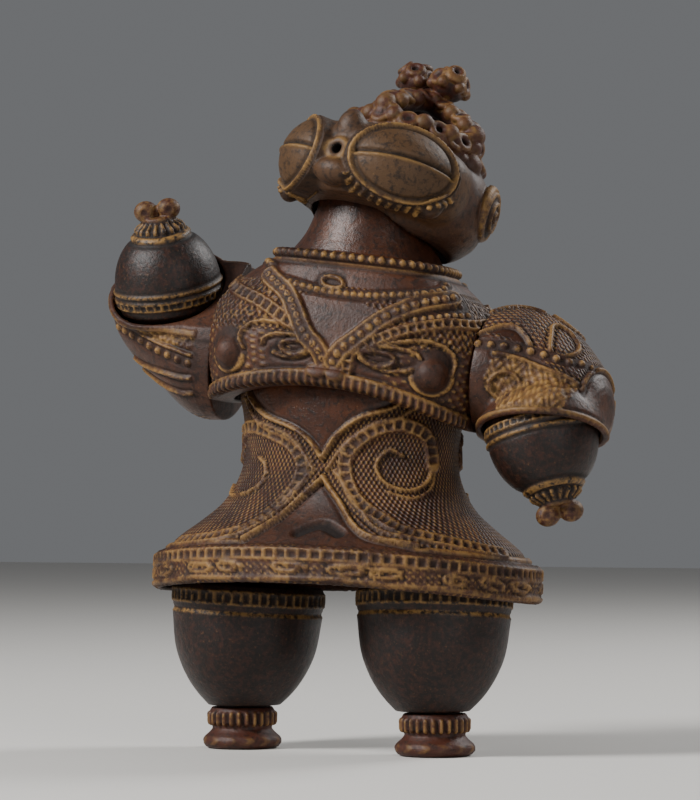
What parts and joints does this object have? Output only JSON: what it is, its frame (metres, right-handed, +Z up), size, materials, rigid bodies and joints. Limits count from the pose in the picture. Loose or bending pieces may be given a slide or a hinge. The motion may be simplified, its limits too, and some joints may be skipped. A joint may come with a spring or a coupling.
{
  "type": "goggle-eyed clay figurine replica",
  "caption": "Small standing display figure of a goggle-eyed clay idol with a flared skirt, scrolled bands, a pierced crown and one raised arm.",
  "frame": {"origin": "middle of the ground the figure covers, at the height of its soles", "axes": "+Z up, the figure faces -Y, its own left is +X"},
  "size_m": [0.0928, 0.0486, 0.1204],
  "materials": {
    "head": "moulded PVC, brown wash with ochre dry-brushed edges",
    "body": "moulded PVC, red-brown with ochre edges and dark hollows, satin",
    "limbs": "moulded PVC, dark brown with mottled wear and pale ring lines",
    "feet": "moulded PVC, reddish brown with worn ochre ribs"
  },
  "bodies": {
    "root": {"head": "head", "chest": "body", "hips_and_skirt": "body", "left_sleeve": "body", "right_sleeve": "body", "left_forearm": "limbs", "right_forearm": "limbs", "left_leg": "limbs", "right_leg": "limbs", "left_foot": "feet", "right_foot": "feet"}
  },
  "joints": []
}
